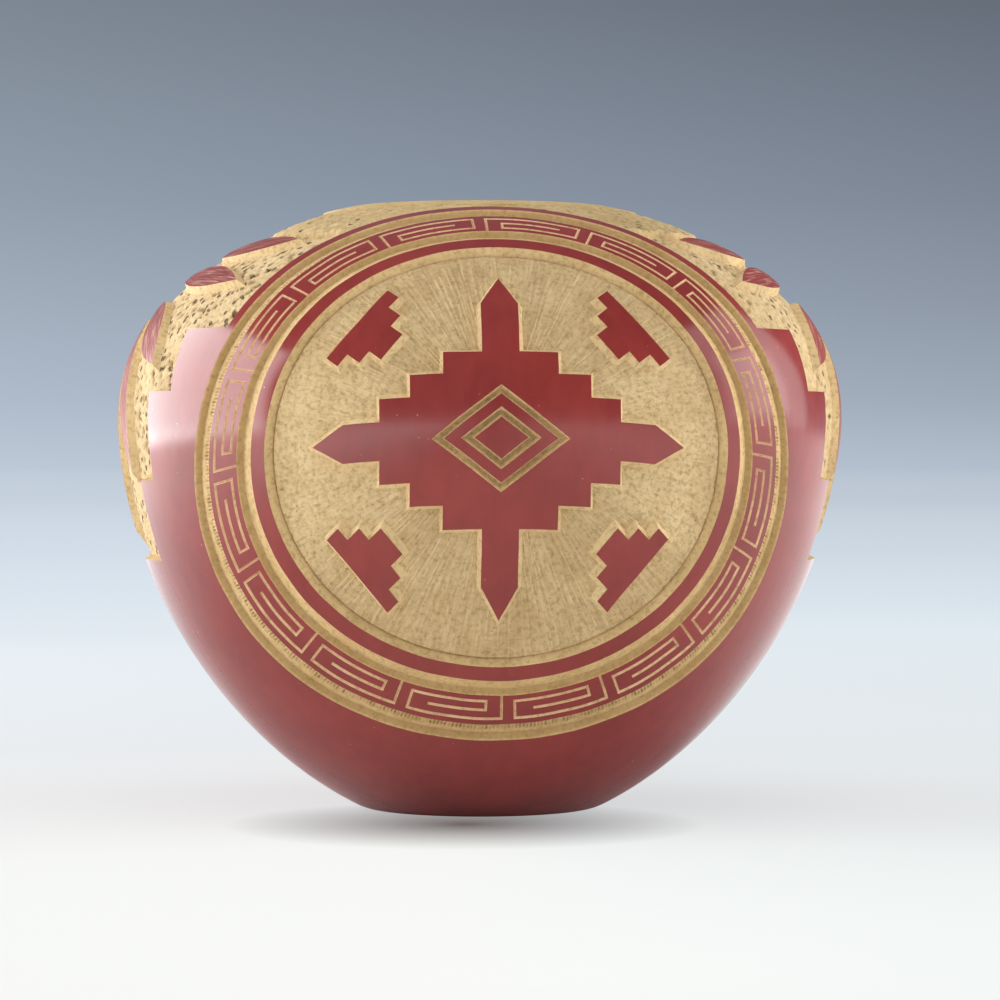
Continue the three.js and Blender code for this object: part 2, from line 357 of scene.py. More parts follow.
def layPiece(piece, plate, slot, node, aspect=1.0, degrees=30):
    layOnBowl(piece, plate, aspect)
    smoothBy(piece, degrees)
    if slot == "red_slip":
        polishSkin(piece)
    seat(piece, slot, node)


def ringEdgeAt(skin, plate):  # the half height of the medallion ellipse that passes through each spot
    flat = skin - plate["origin"]
    return np.hypot(flat @ plate["across"] / medallion["aspect"], flat @ plate["up"])


# Finishes


def feed(tree, node, sockets):  # links outputs of other nodes, and sets plain values
    for key, value in sockets.items():
        if isinstance(value, bpy.types.NodeSocket):
            tree.links.new(value, node.inputs[key])
        else:
            node.inputs[key].default_value = value


def addNode(tree, kind, sockets, **settings):
    node = tree.nodes.new(f"ShaderNode{kind}")
    for key, value in settings.items():
        setattr(node, key, value)
    feed(tree, node, sockets)
    return node


def mixedColor(tree, share, first, second):
    return addNode(tree, "Mix", {0: share, 6: first, 7: second}, data_type="RGBA").outputs[2]


def noiseOn(tree, vector, scale, detail=3, roughness=0.5):
    sockets = {"Vector": vector, "Scale": scale, "Detail": detail, "Roughness": roughness}
    return addNode(tree, "TexNoise", sockets).outputs["Fac"]


def rangeOf(tree, value, fromLow, fromHigh, low=0, high=1):
    sockets = {"Value": value, "From Min": fromLow, "From Max": fromHigh, "To Min": low, "To Max": high}
    return addNode(tree, "MapRange", sockets).outputs["Result"]


def mathOn(tree, operation, first, second):
    return addNode(tree, "Math", {0: first, 1: second}, operation=operation).outputs[0]


def bumpFrom(tree, height, strength, distance, under=None):
    sockets = {"Height": height, "Strength": strength, "Distance": distance}
    if under is not None:
        sockets["Normal"] = under
    return addNode(tree, "Bump", sockets).outputs["Normal"]


def objectVector(tree, stretch=(1, 1, 1)):
    place = addNode(tree, "TexCoord", {}).outputs["Object"]
    return addNode(tree, "Mapping", {"Vector": place, "Scale": stretch}).outputs["Vector"]


def axesOf(tree, vector):
    return addNode(tree, "SeparateXYZ", {0: vector}).outputs


def readingOf(tree, name, output="Fac"):
    return addNode(tree, "Attribute", {}, attribute_name=name).outputs[output]


def linear(red, green, blue):  # a colour as a screen shows it, 0 to 255, in the form a shader takes
    parts = [c / 255 for c in (red, green, blue)]
    return [c / 12.92 if c <= 0.04045 else ((c + 0.055) / 1.055) ** 2.4 for c in parts] + [1]


def newFinish(name):
    finish = bpy.data.materials.new(name)
    finish.use_nodes = True
    return finish, finish.node_tree, finish.node_tree.nodes["Principled BSDF"]


redSlip = {
    "deep": linear(127, 41, 37),
    "light": linear(150, 54, 48),
    "chip": linear(206, 160, 132),
    "roughness": (0.13, 0.19),
    "scratchedRoughness": (0.3, 0.45),
    "cloudScale": 70,
    "mottleScale": 420,
    "mottleStretch": (1, 1, 0.35),
    "nickScale": 1300,
    "rippleScale": 900,
    "barbStretch": (2100, 130, 1),
}


def makeRedSlip(name, scratched=False):
    finish, tree, shader = newFinish(name)
    plain = objectVector(tree)
    clouds = noiseOn(tree, plain, redSlip["cloudScale"])
    mottle = noiseOn(tree, objectVector(tree, redSlip["mottleStretch"]), redSlip["mottleScale"], 3, 0.6)
    broad = rangeOf(tree, clouds, 0.3, 0.7, 0, 0.6)
    blend = mathOn(tree, "ADD", broad, rangeOf(tree, mottle, 0.3, 0.7, 0, 0.4))
    color = mixedColor(tree, blend, redSlip["deep"], redSlip["light"])
    nicks = rangeOf(tree, noiseOn(tree, plain, redSlip["nickScale"], 1), 0.79, 0.83, 0, 0.6)
    color = mixedColor(tree, nicks, color, redSlip["chip"])
    bumps = bumpFrom(tree, clouds, 0.5, 0.05 * mm)
    bumps = bumpFrom(tree, noiseOn(tree, plain, redSlip["rippleScale"]), 0.1, 0.02 * mm, bumps)
    roughness = redSlip["roughness"]
    if scratched:
        sockets = {"Vector": readingOf(tree, "barbs", "Vector"), "Scale": redSlip["barbStretch"]}
        streaks = noiseOn(tree, addNode(tree, "Mapping", sockets).outputs["Vector"], 1, 3, 0.6)
        color = mixedColor(tree, rangeOf(tree, streaks, 0.5, 0.66, 0, 0.62), color, redSlip["chip"])
        bumps = bumpFrom(tree, streaks, 0.7, 0.25 * mm, bumps)
        roughness = redSlip["scratchedRoughness"]
    roughness = rangeOf(tree, mottle, 0.3, 0.7, *roughness)
    feed(tree, shader, {"Base Color": color, "Roughness": roughness, "Normal": bumps})
    return finish


tanClay = {
    # the ridge colour is a painted highlight on ridge tops; the groove colour is painted shade in grooves
    # and hollows; the pit colour is painted shade inside pits
    "ridge": linear(246, 222, 176),
    "groove": linear(150, 117, 70),
    "speck": linear(132, 101, 64),
    "pit": linear(96, 72, 44),
    "roughness": 0.88,
    "shine": 0.3,
    "patchScale": 160,
    "coarseScale": 1300,
    "speckScale": 1700,
    "fineScale": 3000,
    "pitScale": 780,
    "pitEdgeScale": 2400,
    "pitWander": 0.5 * mm,
    "streaks": [(0.5, 0.3, 0.26, "groove"), (0.56, 0.7, 0.6, "ridge")],  # noise from and to, most, tint: painted shade in the grooves, painted highlight on the ridges
}


def pitsOn(tree, vector, share):  # round holes with ragged edges: 1 in a hole, 0 outside
    wander = addNode(tree, "TexNoise", {"Vector": vector, "Scale": tanClay["pitEdgeScale"]})
    sockets = {0: wander.outputs["Color"], 1: (tanClay["pitWander"],) * 3, 2: vector}
    shifted = addNode(tree, "VectorMath", sockets, operation="MULTIPLY_ADD").outputs["Vector"]
    cells = addNode(tree, "TexVoronoi", {"Vector": shifted, "Scale": tanClay["pitScale"]})
    hole = rangeOf(tree, cells.outputs["Distance"], 0.24, 0.4, 1, 0)
    chance = axesOf(tree, cells.outputs["Color"])["X"]
    return mathOn(tree, "MULTIPLY", hole, rangeOf(tree, chance, 1 - share, 1.05 - share))


def makeTanClay(name, plain, pale, grainBump, carved=False, spoked=False, pitShare=0):
    finish, tree, shader = newFinish(name)
    vector = objectVector(tree)
    patches = rangeOf(tree, noiseOn(tree, vector, tanClay["patchScale"]), 0.3, 0.7)
    color = mixedColor(tree, patches, linear(*plain), linear(*pale))
    coarse = noiseOn(tree, vector, tanClay["coarseScale"], 3, 0.6)
    # painted shade where the coarse grain lies low
    color = mixedColor(tree, rangeOf(tree, coarse, 0.52, 0.3, 0, 0.5), color, tanClay["groove"])
    specks = rangeOf(tree, noiseOn(tree, vector, tanClay["speckScale"], 2), 0.64, 0.74, 0, 0.5)
    color = mixedColor(tree, specks, color, tanClay["speck"])
    fine = noiseOn(tree, vector, tanClay["fineScale"], 3, 0.6)
    bumps = bumpFrom(tree, coarse, grainBump, 0.32 * mm)
    bumps = bumpFrom(tree, fine, grainBump, 0.14 * mm, bumps)
    if spoked:
        streaks = noiseOn(tree, readingOf(tree, "spokes", "Vector"), 1, 3, 0.6)
        scored = readingOf(tree, "scored")
        # painted shade in the streaks' grooves and a painted highlight on their ridges
        for low, high, most, tint in tanClay["streaks"]:
            share = mathOn(tree, "MULTIPLY", rangeOf(tree, streaks, low, high, 0, most), scored)
            color = mixedColor(tree, share, color, tanClay[tint])
        bumps = bumpFrom(tree, streaks, 0.9, 0.5 * mm, bumps)
    # painted shade in hollows and cuts, read from each vertex
    if carved:
        color = mixedColor(tree, readingOf(tree, "carved"), color, tanClay["groove"])
    if pitShare:
        pits = pitsOn(tree, vector, pitShare)
        # painted shade inside the pits
        color = mixedColor(tree, rangeOf(tree, pits, 0, 1, 0, 0.85), color, tanClay["pit"])
        bumps = bumpFrom(tree, rangeOf(tree, pits, 0, 1, 1, 0), 1, 0.45 * mm, bumps)
    feed(tree, shader, {"Base Color": color, "Roughness": tanClay["roughness"], "Normal": bumps})
    shader.inputs["Specular IOR Level"].default_value = tanClay["shine"]
    return finish


polishedRed = makeRedSlip("burnishedRedSlip")
barbedRed = makeRedSlip("scratchedRedSlip", True)
carvedTan = makeTanClay("carvedTanClay", (218, 187, 137), (236, 208, 158), 0.9, True, True)
cutTan = makeTanClay("knifeCutTanClay", (196, 165, 116), (214, 184, 134), 0.4)
bevelTan = makeTanClay("bevelTanClay", (216, 186, 136), (234, 206, 156), 0.3)
lineTan = makeTanClay("engravedLineClay", (214, 174, 134), (230, 196, 156), 0.2)
lipTan = makeTanClay("rubbedLipClay", (196, 166, 112), (212, 184, 132), 0.35)
bareClay = makeTanClay("scrapedClay", (158, 122, 84), (178, 142, 100), 0.5)
rimTan = makeTanClay("fieldRimClay", (208, 178, 126), (224, 194, 142), 0.5)
channelTan = makeTanClay("channelTanClay", (208, 174, 120), (226, 194, 140), 0.5, True)
pittedTan = {
    flank: makeTanClay(f"{flank}StippledClay", (212, 183, 134), (230, 203, 156), 0.9, True, False, share)
    for flank, share in (("left", 0.55), ("right", 0.2))
}
roughTan = makeTanClay("roughTanClay", (206, 177, 126), (222, 195, 146), 0.9, True, False, 0.08)
print("finishes mixed")

# Polished body, cut back over the shoulder and inside the medallions

flankField = {
    "treads": [78.5 * mm, 68.7 * mm, 54.5 * mm, 41.5 * mm],
    "halfAngles": [90, 32.4, 25.4, 19.8],  # from the middle of the flank, in degrees
    "depth": 1.2 * mm,
}
cutter = {
    "above": 2.2 * mm,
    "below": 2.8 * mm,
    "chamfer": 0.1 * mm,
    "lean": 0.22,
    "innerRadius": 23 * mm,
    "overlap": 1.5 * mm,  # how far the steps reach up past the first tread
    "gridAngle": 0.045,
    "discSteps": (8, 220),
    "shoulderSteps": (14, 210),
}


def discCutter(name, edge, outwards):  # an elliptical plug whose side leans in or out with depth
    across, around = cutter["discSteps"]
    low = -cutter["below"]
    mouth = edge - outwards * cutter["chamfer"]
    floorEdge = edge - outwards * cutter["lean"] * low
    upper = [(r, cutter["above"]) for r in spaced(0, mouth, across)]
    side = [(mouth, 0), (edge, -cutter["chamfer"])]
    lower = [(r, low) for r in spaced(floorEdge, 0, across)]
    return spunPiece(name, upper + side + lower, around)


def shoulderCutter():  # all that is cut back above the first tread
    along, around = cutter["shoulderSteps"]
    low = angleAtHeight(flankField["treads"][0])
    angles = spaced(low, angleAtRadius(cutter["innerRadius"]), along)
    lean = cutter["lean"] * cutter["below"] / bowl["bellyRadius"]
    top = [(a, cutter["above"]) for a in angles]
    bottom = [(a, -cutter["below"]) for a in reversed(angles)]
    bottom[-1] = (low + lean, -cutter["below"])
    section = []
    for angle, out in top + bottom + [(low, 0)]:
        r, z = outlineAt(angle)
        spot = np.array([[float(r), 0, float(z)]])
        moved = spot + out * bowlNormal(spot)
        section.append((moved[0, 0], moved[0, 2]))
    return spunPiece("shoulderCutter", section, around)


def stepCutter(flank, azimuth):  # the steps below the first tread, drawn as azimuth and outline angle
    treads, halfAngles = flankField["treads"], flankField["halfAngles"]
    right = []
    for i in range(3, 0, -1):
        right += [(halfAngles[i], treads[i]), (halfAngles[i], treads[i - 1])]
    right[-1] = (halfAngles[1], treads[0] + cutter["overlap"])
    outline = right + [(-a, z) for a, z in reversed(right)]
    corners = [(math.radians(azimuth + a), angleAtHeight(z), cutter["above"]) for a, z in outline]
    piece = loopPiece(f"{flank}StepCutter", corners, "NGON")
    openEdit()
    extrude(-cutter["above"])
    extrude(-cutter["below"])
    closeOutwards()
    flat = places(piece)
    lean = cutter["lean"] * cutter["below"] / bowl["bellyRadius"]
    deep = flat[:, 2] < -0.5 * cutter["below"]
    flat[deep, 0] -= np.sign(flat[deep, 0] - math.radians(azimuth)) * lean
    belowTop = deep & (flat[:, 1] < angleAtHeight(treads[0] + mm))
    flat[belowTop, 1] += lean
    setPlaces(piece, flat)
    gridCut(piece, cutter["gridAngle"])
    wrapOnBowl(piece)
    return piece


def medallionCutter(side, ending, edge, outwards):
    disc = discCutter(side + ending, medallion[edge], outwards)
    layOnBowl(disc, medallionPlates[side], medallion["aspect"])
    return disc


def makeBodyCutter():
    whole = shoulderCutter()
    for flank, azimuth in flankTurns.items():
        joinByBoolean(whole, stepCutter(flank, azimuth), "UNION")
    for side in medallionPlates:
        joinByBoolean(whole, medallionCutter(side, "Keeper", "border", 1), "DIFFERENCE")
    for side in medallionPlates:
        plug = medallionCutter(side, "Plug", "outerChannel", -1)
        pickOnly(whole)
        plug.select_set(True)
        bpy.ops.object.join()
    return whole


polishedBody = {
    "lipGap": 0.3 * mm,
    "footHeight": 0.9 * mm,  # where the side turns under to the flat foot
    "flatRadii": [0, 9 * mm, 18.1 * mm],
    "turnUnder": [0.2, 0.4, 0.6, 0.8, 0.92],  # shares of the way from the flat foot to the side
    "turnPower": 1.8,
    "steps": (104, 26),  # outer and inner side
    "skinLevel": 0.9975,
}


def makePolishedBody():
    edge = bowl["lipBandRadius"] + polishedBody["lipGap"]
    depth = bowl["skinDepth"]
    outerSteps, innerSteps = polishedBody["steps"]
    height, flatRadius = polishedBody["footHeight"], polishedBody["flatRadii"][-1]
    outer = outlineRun(angleAtHeight(height), angleAtRadius(edge), outerSteps)
    wide = outer[0][0] - flatRadius
    under = [(r, 0) for r in polishedBody["flatRadii"]]
    for share in polishedBody["turnUnder"]:
        under.append((flatRadius + wide * share, height * share ** polishedBody["turnPower"]))
    inner = outlineRun(angleAtRadius(edge, depth), angleAtHeight(depth, depth), innerSteps, depth)
    piece = spunPiece("polishedBody", under + outer + inner + [(0, depth)], bowl["turnSteps"])
    joinByBoolean(piece, makeBodyCutter(), "DIFFERENCE")

    def chooseSkin(centres, normals):
        facing = np.einsum("ij,ij->i", bowlNormal(centres), normals)
        near = bowlLevel(centres) > polishedBody["skinLevel"]
        underneath = (centres[:, 2] < mm) & (normals[:, 2] < -0.5)
        return np.where((near & (facing > 0.99)) | underneath, 0, 1)

    paintFaces(piece, [polishedRed, cutTan], chooseSkin)
    smoothBy(piece, 30)
    polishSkin(piece)
    seat(piece, "red_slip", "polished_body", "base_slab")


# Clay wall behind the skin, with the lip

clayWall = {
    "outerFoot": 3 * mm,
    "innerFoot": 8.5 * mm,
    "floorCurve": [(3 * mm, 7 * mm), (7 * mm, 6.3 * mm)],  # in from the inner foot, and height
    "floorHeight": 6 * mm,
    "floorRadius": 6 * mm,
    "steps": {"hidden": 40, "band": 8, "lip": 12, "inside": 70},
    "ripple": {"size": 0.35 * mm, "pitch": 7 * mm, "stretch": [0.3, 0.3, 1]},
}


def makeClayWall():
    core, depth, steps = bowl["coreDepth"], bowl["wallDepth"], clayWall["steps"]
    band, crownRadius, mouth = bowl["lipBandRadius"], bowl["lipCrownRadius"], bowl["mouthRadius"]
    outerFoot = angleAtHeight(clayWall["outerFoot"], core)
    innerFoot = angleAtHeight(clayWall["innerFoot"], depth)
    hidden = outlineRun(outerFoot, angleAtRadius(band, core), steps["hidden"], core)
    lipBand = outlineRun(angleAtRadius(band), angleAtRadius(crownRadius), steps["band"])
    crown = lipBand[-1]
    lip = []
    for turn in spaced(0, math.pi / 2, steps["lip"])[1:]:
        drop = bowl["lipDrop"] * (1 - math.cos(turn))
        lip.append((crown[0] - (crownRadius - mouth) * math.sin(turn), crown[1] - drop))
    inside = outlineRun(angleAtRadius(mouth, depth), innerFoot, steps["inside"], depth)
    curve = [(inside[-1][0] - inwards, height) for inwards, height in clayWall["floorCurve"]]
    level = [(r, clayWall["floorHeight"]) for r in (clayWall["floorRadius"], 0)]
    profile = [(0, clayWall["outerFoot"])] + hidden + lipBand + lip + inside + curve + level
    piece = spunPiece("clayWall", profile, bowl["turnSteps"])
    spots = places(piece)
    inner = (bowlLevel(spots) < 0.8) & (spots[:, 2] > clayWall["floorHeight"] - 0.1 * mm)
    ripple = clayWall["ripple"]
    waves = ripple["size"] * grain(spots * ripple["stretch"], ripple["pitch"], 2) * inner
    away = 1 + waves / np.maximum(fromAxis(spots), 4 * mm)
    spots[:, :2] *= away[:, None]
    setPlaces(piece, spots)
    lipFoot = crown[1] - bowl["lipDrop"] - 2.5 * mm
    paintFaces(piece, [lipTan, bareClay], lambda centres, normals: np.where(centres[:, 2] > lipFoot, 0, 1))
    smoothBy(piece, 40)
    seat(piece, "clay_body", "rim_coil", *[f"wall_coil_{i}" for i in range(1, 8)])


makePolishedBody()
makeClayWall()
print("body and wall turned")

# Medallion rings and ground

fret = {
    "count": 16,
    "columns": 80,  # steps of the band for each fret
    "barColumn": 5,
    "lineEnd": 75,
    "innerEnd": 17,
    "middleEnd": 60,
    "phase": -10,  # steps from straight down to the first fret
    "depth": 0.26 * mm,
    "lines": [0.2, 0.5, 0.8],  # the three long lines, as shares of the band's width
    "stations": [0, 0.155, 0.2, 0.245, 0.455, 0.5, 0.545, 0.755, 0.8, 0.845, 1],
    "bottom": -1.6 * mm,
}


def fretMask(column, level):  # true where a line is cut, for a column and a share of the band's width
    bar, end = fret["barColumn"], fret["lineEnd"]
    back, middle = fret["innerEnd"], fret["middleEnd"]
    near = np.abs(level[:, None] - np.array(fret["lines"])) < 0.01
    lines = near[:, 2] & (column >= bar) & (column <= end)
    lines |= near[:, 0] & (column >= back) & (column <= end)
    lines |= near[:, 1] & (column >= back) & (column <= middle)
    lines |= (column == bar) & (level < 0.81)
    lines |= (column == end) & (level > 0.19) & (level < 0.81)
    lines |= (column == back) & (level > 0.19) & (level < 0.51)
    return lines


def ringPiece(name, edges, shares, heights, bottom, steps):  # shares go from the low edge to the high
    low, high = (medallion[edge] for edge in edges)
    top = [(low + (high - low) * s, z) for s, z in zip(shares, heights)]
    piece = spunPiece(name, top + [(high, bottom), (low, bottom)], steps)
    flat = places(piece)
    turn = np.arctan2(-flat[:, 0], -flat[:, 1]) / (2 * math.pi)  # clockwise from straight down
    column = np.round(turn * steps).astype(int) % steps
    return piece, flat, column, (fromAxis(flat) - low) / (high - low)


def makeFretBand(side, plate):
    stations, steps = fret["stations"], fret["count"] * fret["columns"]
    piece, flat, column, level = ringPiece(
        f"{side}FretBand", ("innerChannel", "fretBand"), stations, [0] * len(stations), fret["bottom"], steps
    )
    column = (column - fret["phase"]) % fret["columns"]
    flat[:, 2] -= fret["depth"] * (fretMask(column, level) & (flat[:, 2] > -0.1 * mm))
    setPlaces(piece, flat)

    def chooseBand(centres, normals):
        polished = (normals[:, 2] > 0.999) & (centres[:, 2] > -0.01 * mm)
        return np.where(polished, 0, np.where(centres[:, 2] > -0.5 * mm, 1, 2))

    paintFaces(piece, [polishedRed, lineTan, cutTan], chooseBand)
    layPiece(piece, plate, "red_slip", f"{side}_fret_band", medallion["aspect"])


innerRing = {
    "topSteps": 4,
    "slope": [(0.08 * mm, -1.1 * mm), (0, -1.7 * mm)],  # out from the ground's edge, and height
    "break": (0.12 * mm, -0.25 * mm),  # in from the field's edge, and height
    "gutter": 0.5 * mm,
    "gutterTop": -1.75 * mm,
    "bottom": -2 * mm,
}


def makeInnerRing(side, plate):
    high, low, foot = medallion["innerRing"], medallion["field"], medallion["groundEdge"]
    inwards, height = innerRing["break"]
    slope = [(low - inwards, height)] + [(foot + outwards, z) for outwards, z in innerRing["slope"]]
    end, bottom = foot - innerRing["gutter"], innerRing["bottom"]
    gutter = [(end, innerRing["gutterTop"]), (end, bottom), (high, bottom)]
    top = [(r, 0) for r in spaced(low, high, innerRing["topSteps"])]
    piece = spunPiece(f"{side}InnerRing", slope + gutter + top[::-1], medallion["ringSteps"])
    paintFaces(piece, [polishedRed, rimTan], topFaces(0.99, -0.01 * mm))
    layPiece(piece, plate, "red_slip", f"{side}_inner_ring", medallion["aspect"])


channel = {
    "depth": 0.9 * mm,
    "shares": [0, 0.1, 0.2, 0.3, 0.4, 0.5, 0.6, 0.7, 0.78, 0.84, 0.9, 0.95, 1],
    "bottom": -1.9 * mm,
    "wander": (0.07 * mm, 0.8 * mm),  # size and pitch
    "darkWidth": 0.2,  # share of the width before the valley that gets painted shade
}
channels = {  # edges, then the valley and the end of the stitches across the width, and their depth
    "InnerChannel": (("innerRing", "innerChannel"), 0.8, 0, 0),
    "OuterChannel": (("fretBand", "outerChannel"), 0.84, 0.45, 0.24 * mm),
}


def makeChannel(side, plate, name, edges, valley, stitched, stitch):
    shares = np.array(channel["shares"])
    fall = np.where(shares < valley, shares / valley, (1 - shares) / (1 - valley))
    piece, flat, column, level = ringPiece(
        side + name, edges, shares, -channel["depth"] * fall, channel["bottom"], medallion["ringSteps"]
    )
    shown = carvedSide(flat) & (level > 0.02) & (level < 0.98)
    size, pitch = channel["wander"]
    wander = grain(flat, pitch)
    tooth = (column % 2 == 0) & (level < stitched) & shown
    flat[:, 2] -= stitch * tooth * np.clip(0.9 + 1.2 * wander, 0.2, 1.6)
    flat[:, 2] += size * wander * shown
    setPlaces(piece, flat)
    # painted shade that grows towards the valley, and painted shade in the stitch cuts
    near = np.clip((level - valley) / channel["darkWidth"] + 1, 0, 1)
    addReading(piece, "carved", shown * np.clip(0.45 * near + 0.9 * tooth * (0.7 + wander), 0, 1))
    paintFaces(piece, [channelTan])
    layPiece(piece, plate, "tan_ground", f"{side}_ground", medallion["aspect"], 50)


ground = {
    "middle": 2.6 * mm,
    "edgeGap": 0.2 * mm,
    "height": -1.2 * mm,
    "bottom": -2.1 * mm,
    "steps": (76, 10),  # top and bottom
    "lines": 196,
    "halfWidth": 0.2 * mm,
    "ridge": 0.17 * mm,
    "starts": (6, 19),  # in millimetres from the middle
    "shortBy": (-0.6, 1.2),  # in millimetres before the ground's edge
    "sector": (64, 8),  # degrees from the vertical that the ridges reach, and fade out over
    "sectorWander": (10, 6 * mm),  # size in degrees, and pitch
    "sway": (0.012, 9 * mm),
    "stipple": 0.14 * mm,
    "fine": (0.05 * mm, 0.55 * mm),  # size and pitch
    "coarse": (0.05 * mm, 1.3 * mm),
    "streak": (52, 5 * mm),  # streaks round the middle, and their length
}


def groundRelief(flat, seed):  # fine ridges above and below the middle, stippling beside it, and painted shade in the hollows
    rng = np.random.default_rng(seed)
    edge = fromAxis(flat)
    turn = np.arctan2(flat[:, 0], flat[:, 1])
    sway, sectorWander, fine, coarse = (
        ground[key][0] * grain(flat, ground[key][1]) for key in ("sway", "sectorWander", "fine", "coarse")
    )
    swayed = turn + sway
    lines = ground["lines"]
    step = 2 * math.pi / lines
    shift = rng.uniform(-0.3, 0.3, lines) * step
    starts = rng.uniform(*ground["starts"], lines) * mm
    ends = medallion["groundEdge"] - rng.uniform(*ground["shortBy"], lines) * mm
    strengths = rng.uniform(0.5, 1.2, lines)
    ridge = np.zeros(len(flat))
    nearest = np.round(swayed / step).astype(int)
    for hop in (-1, 0, 1):
        line = (nearest + hop) % lines
        away = (swayed - (nearest + hop) * step - shift[line]) * edge
        reach = np.clip(1 - np.abs(away) / ground["halfWidth"], 0, 1)
        ending = np.clip((edge - starts[line]) / mm, 0, 1) * np.clip((ends[line] - edge) / mm, 0, 1)
        ridge = np.maximum(ridge, reach * ending * strengths[line])
    fromVertical = np.degrees(np.minimum(np.abs(turn), math.pi - np.abs(turn)))
    sector, fade = ground["sector"]
    scored = np.clip((sector + sectorWander - fromVertical) / fade, 0, 1)
    stipple = np.clip(-fine / ground["fine"][0] * 1.5 - 0.1, 0, 1)
    ridge *= scored
    height = ground["ridge"] * ridge + fine * scored
    height -= (1 - scored) * (ground["stipple"] * stipple - coarse)
    # painted shade between the ridges and in the stipple
    hollowShadeShare = 0.24 * scored * (1 - ridge) + stipple * (0.2 + 0.25 * (1 - scored))
    return height, np.clip(hollowShadeShare, 0, 1), scored


def makeMedallionGround(side, plate):
    topSteps, bottomSteps = ground["steps"]
    low, high = ground["middle"], medallion["groundEdge"] - ground["edgeGap"]
    top = [(r, ground["height"]) for r in spaced(low, high, topSteps)]
    bottom = [(r, ground["bottom"]) for r in spaced(high, low, bottomSteps)]
    piece = spunPiece(f"{side}Ground", top + bottom, medallion["ringSteps"])
    flat = places(piece)
    shown = carvedSide(flat)
    height, hollowShadeShare, scored = groundRelief(flat, 11 if side == "front" else 12)
    flat[:, 2] += height * shown
    setPlaces(piece, flat)
    addReading(piece, "carved", hollowShadeShare * shown)
    addReading(piece, "scored", 0.25 + 0.75 * scored)
    edge = fromAxis(flat)
    count, length = ground["streak"]
    spokes = flat * [1, 1, 0] / edge[:, None] * count
    spokes[:, 2] = edge / length
    addReading(piece, "spokes", spokes)
    paintFaces(piece, [carvedTan])
    layPiece(piece, plate, "tan_ground", f"{side}_ground", medallion["aspect"], 60)


for side, plate in medallionPlates.items():
    makeFretBand(side, plate)
    makeInnerRing(side, plate)
    for name, form in channels.items():
        makeChannel(side, plate, name, *form)
    makeMedallionGround(side, plate)
print("rings and grounds carved")

# Raised lands: star, diamonds, clouds and feathers

land = {
    "foot": -1.7 * mm,
    "lift": 0.3 * mm,  # height of the upright side below the slope
    "rim": 0.07 * mm,
    "grid": 1.5 * mm,
}
steep = {"slope": 0.4 * mm, "spread": 0.34 * mm, "top": 0}
bevel = {"slope": 0.86 * mm, "spread": 0.8 * mm, "top": -0.12 * mm, "hole": 13.6 * mm}
star = {
    "reach": 28.5 * mm,
    "rise": 25.8 * mm,
    "tip": 4.7 * mm,
    "armHalf": 2.9 * mm,
    "steps": [(18.4 * mm, 6.3 * mm), (13.8 * mm, 9.7 * mm), (8.8 * mm, 13.1 * mm)],
    "hole": 10.4 * mm,
}
diamonds = {"slope": 0.75, "frame": 8.8 * mm, "frameHole": 6 * mm, "centre": 4.2 * mm}
cloud = {"base": 28.6 * mm, "angle": 41, "step": 2.3 * mm, "halfWidths": [7.2 * mm, 4.9 * mm, 2.6 * mm]}


def turned(corners, turn):
    sine, cosine = math.sin(turn), math.cos(turn)
    return [(x * cosine - y * sine, x * sine + y * cosine) for x, y in corners]


def starCorners():
    arm, steps = star["armHalf"], star["steps"]
    right = [(star["reach"], 0), (star["reach"] - star["tip"], arm), (steps[0][0], arm)]
    for i, (x, y) in enumerate(steps):
        nextX = steps[i + 1][0] if i + 1 < len(steps) else arm
        right += [(x, y), (nextX, y)]
    right.append((arm, star["rise"] - star["tip"]))
    left = [(-x, y) for x, y in reversed(right)]
    upper = right + [(0, star["rise"])] + left[:-1]
    return upper + [(-x, -y) for x, y in upper]


def diamondCorners(half):
    high = half * diamonds["slope"]
    return [(half, 0), (0, high), (-half, 0), (0, -high)]


def cloudCorners(angle):
    half = []
    for i, x in enumerate(cloud["halfWidths"]):
        outer = cloud["base"] - i * cloud["step"]
        half += [(x, outer), (x, outer - cloud["step"])]
    return turned([(-x, y) for x, y in half] + half[::-1], math.radians(angle - 90))


def spreadCorners(corners, distance):  # moves each edge of a counter-clockwise outline outwards
    moved = []
    for i, corner in enumerate(corners):
        here = np.array(corner)
        before = here - np.array(corners[i - 1])
        after = np.array(corners[(i + 1) % len(corners)]) - here
        first = np.array([before[1], -before[0]]) / np.linalg.norm(before)
        second = np.array([after[1], -after[0]]) / np.linalg.norm(after)
        moved.append(tuple(here + distance * (first + second) / (1 + first @ second)))
    return moved


def flatLand(name, corners, hole=None, edge=steep, finish=polishedRed):
    loop = [(x, y, land["foot"]) for x, y in spreadCorners(corners, edge["spread"])]
    piece = loopPiece(name, loop)
    if hole:
        openEdit()
        bpy.ops.mesh.primitive_circle_add(vertices=len(hole), radius=mm)
        closeEdit()
        loop += [(x, y, land["foot"]) for x, y in spreadCorners(hole, -edge["spread"])]
        setPlaces(piece, loop)
    openEdit()
    bpy.ops.mesh.fill(use_beauty=True)
    bpy.ops.mesh.normals_make_consistent(inside=False)
    closeEdit()
    if piece.data.polygons[0].normal.z < 0:
        openEdit()
        bpy.ops.mesh.flip_normals()
        closeEdit()
    openEdit()
    extrude(land["lift"])
    rise = edge["top"] - land["foot"] - land["lift"] - land["rim"] / 2
    bpy.ops.mesh.inset(thickness=edge["slope"], depth=rise, use_even_offset=True)
    bpy.ops.mesh.inset(thickness=land["rim"], depth=land["rim"] / 2, use_even_offset=True)
    closeEdit()
    gridCut(piece, land["grid"])
    paintFaces(piece, [finish, bevelTan], topFaces(0.75, -0.5 * mm))
    return piece


def bevelLand(name, corners, hole=None):  # the wide sloping edge that a figure stands on
    piece = flatLand(name, corners, hole, bevel)
    paintFaces(piece, [bevelTan])
    return piece


